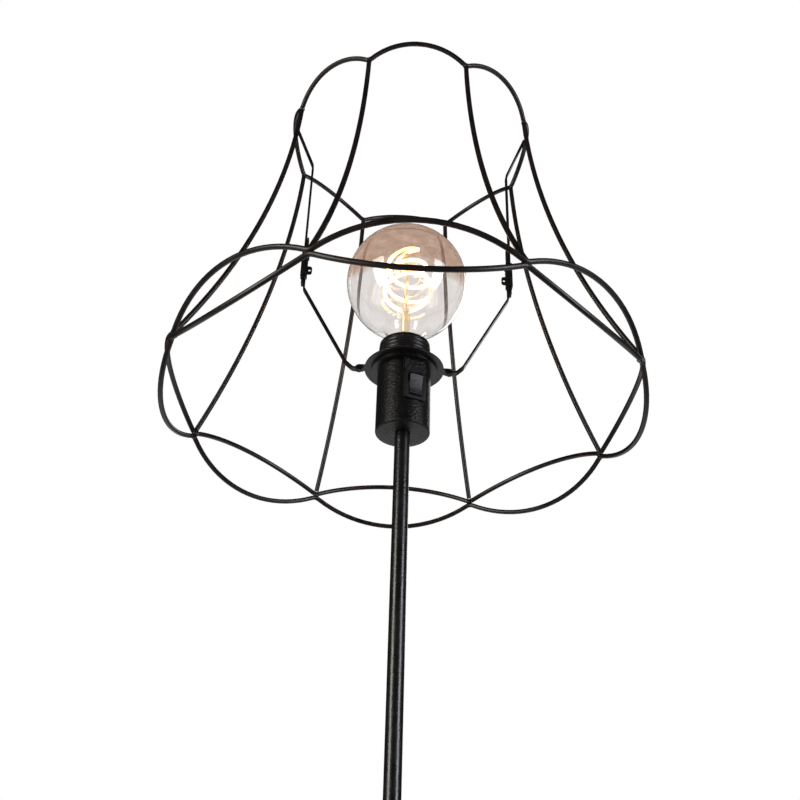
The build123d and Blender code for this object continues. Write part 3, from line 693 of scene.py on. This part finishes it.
def make_bead_tree(finish):
    """Beads evenly round a ring. A bead is given by its size outwards, upwards and along the ring."""
    sizes = {
        "Count": 8, "Ring radius": 0.1, "Height": 0.0, "First angle": 0.0,
        "Bead radius": 0.002, "Bead height": 0.002, "Bead length": 0.002,
    }
    tree, given = sized_tree("weld beads", sizes)
    apart = add(tree, "ShaderNodeMath", {
        0: 2 * math.pi, 1: given["Count"],
    }, operation="DIVIDE").outputs[0]
    angle = add(tree, "ShaderNodeMath", {
        0: add(tree, "GeometryNodeInputIndex").outputs[0], 1: apart, 2: given["First angle"],
    }, operation="MULTIPLY_ADD").outputs[0]
    first = add(tree, "ShaderNodeCombineXYZ", {"X": given["Ring radius"], "Z": given["Height"]}).outputs[0]
    spot = add(tree, "ShaderNodeVectorRotate", {
        "Vector": first, "Angle": angle,
    }, rotation_type="Z_AXIS").outputs[0]
    spots = add(tree, "GeometryNodePoints", {"Count": given["Count"], "Position": spot})
    ball = add(tree, "GeometryNodeMeshIcoSphere", {"Radius": 1.0, "Subdivisions": 4})
    lumps = add(tree, "ShaderNodeTexNoise", {"Scale": 1.1, "Detail": 2.0}).outputs["Fac"]
    swell = remapped(tree, lumps, *NOISE_SPAN, -BEAD_LUMPS, BEAD_LUMPS)
    push = add(tree, "ShaderNodeVectorMath", {
        0: add(tree, "GeometryNodeInputNormal").outputs[0], "Scale": swell,
    }, operation="SCALE").outputs[0]
    lumpy = add(tree, "GeometryNodeSetPosition", {"Geometry": ball.outputs[0], "Offset": push})
    size = add(tree, "ShaderNodeCombineXYZ", {
        "X": given["Bead radius"], "Y": given["Bead length"], "Z": given["Bead height"],
    }).outputs[0]
    vary = add(tree, "FunctionNodeRandomValue", {
        0: BEAD_LEAST, 1: BEAD_MOST, "Seed": BEAD_SEED,
    }, data_type="FLOAT_VECTOR")
    sized = add(tree, "ShaderNodeVectorMath", {0: size, 1: vary.outputs[0]}, operation="MULTIPLY").outputs[0]
    facing = add(tree, "FunctionNodeAlignRotationToVector", {
        "Vector": add(tree, "GeometryNodeInputPosition").outputs[0],
    }, axis="X", pivot_axis="Z")
    beads = add(tree, "GeometryNodeInstanceOnPoints", {
        "Points": spots.outputs[0], "Instance": lumpy.outputs[0],
        "Rotation": facing.outputs[0], "Scale": sized,
    })
    end_tree(tree, beads.outputs[0], finish)
    return tree


def make_welds(finish):
    """Beads of weld metal under the enamel, where wires and arms meet."""
    tree = make_bead_tree(finish)
    rows = {
        "foot_welds": {
            "Count": RIBS, "First angle": HALF_BAY,
            "Ring radius": HOOP_R - 1.3 * MM, "Height": FEET + 0.3 * MM,
            "Bead radius": 2.0 * MM, "Bead height": 2.1 * MM, "Bead length": 3.0 * MM,
        },
        "top_welds": {
            "Count": RIBS, "First angle": HALF_BAY,
            "Ring radius": RING_R, "Height": RING_LOW - 1.5 * MM,
            "Bead radius": 2.1 * MM, "Bead height": 1.5 * MM, "Bead length": 2.2 * MM,
        },
        "arm_welds": {
            "Count": 2, "First angle": 0.0,
            "Ring radius": RING_R - WIRE_R, "Height": RING_CREST - 0.6 * MM,
            "Bead radius": 1.6 * MM, "Bead height": 2.0 * MM, "Bead length": 3.1 * MM,
        },
    }
    made = []
    for name, sizes in rows.items():
        piece = grown(name, bpy.data.meshes.new(name), tree, sizes)
        piece.data.shade_smooth()
        made.append(piece)
    return made


# ---- Finishing -------------------------------------------------------------------------

BODY_OF = {node: body for body, nodes in frame["record"]["behaviour"]["bodies"].items() for node in nodes}
SLOT_OF = {part["node"]: part["material_slot"] for part in frame["record"]["subparts"]}
EDGES_TO_BREAK = {                                          # in mm
    "holder_cup": 0.3, "switch_housing": 0.35, "switch_rocker": 0.5, "fitter_ring": 0.2,
    "clip_left": 0.2, "clip_right": 0.2, "holder_barrel": 0.3,
    "pole_lower": 0.35, "pole_middle": 0.35, "pole_upper": 0.35,
}


def dress(piece, body, slot, finishes):
    piece.data.materials.clear()
    piece.data.materials.append(finishes[slot])
    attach(piece, body)


def main():
    make_camera()
    make_world()
    make_floor()
    for name, setting in SOFTBOXES.items():
        softbox(name, *setting)
    finishes = make_finishes()
    for name, piece in NODES.items():
        piece.data.materials.clear()
        piece.data.materials.append(finishes[SLOT_OF[name]])
    globe = make_globe(finishes["smoked_glass"])
    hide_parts("bulb_glass")
    dress(globe, "stand", "smoked_glass", finishes)
    filament = make_filament(finishes["glowing_filament"])
    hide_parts("filament")
    dress(filament, "stand", "glowing_filament", finishes)
    for piece in make_supports(finishes["cap_nickel"]):
        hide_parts("filament_supports")
        dress(piece, "stand", "cap_nickel", finishes)
    for piece in make_welds(finishes["cage_enamel"]):
        dress(piece, "cage", "cage_enamel", finishes)
    for name, bevel in EDGES_TO_BREAK.items():
        piece = softened(name, bevel)
        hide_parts(name)
        dress(piece, BODY_OF[name], SLOT_OF[name], finishes)


main()
bpy.context.scene.view_settings.view_transform = "Standard"
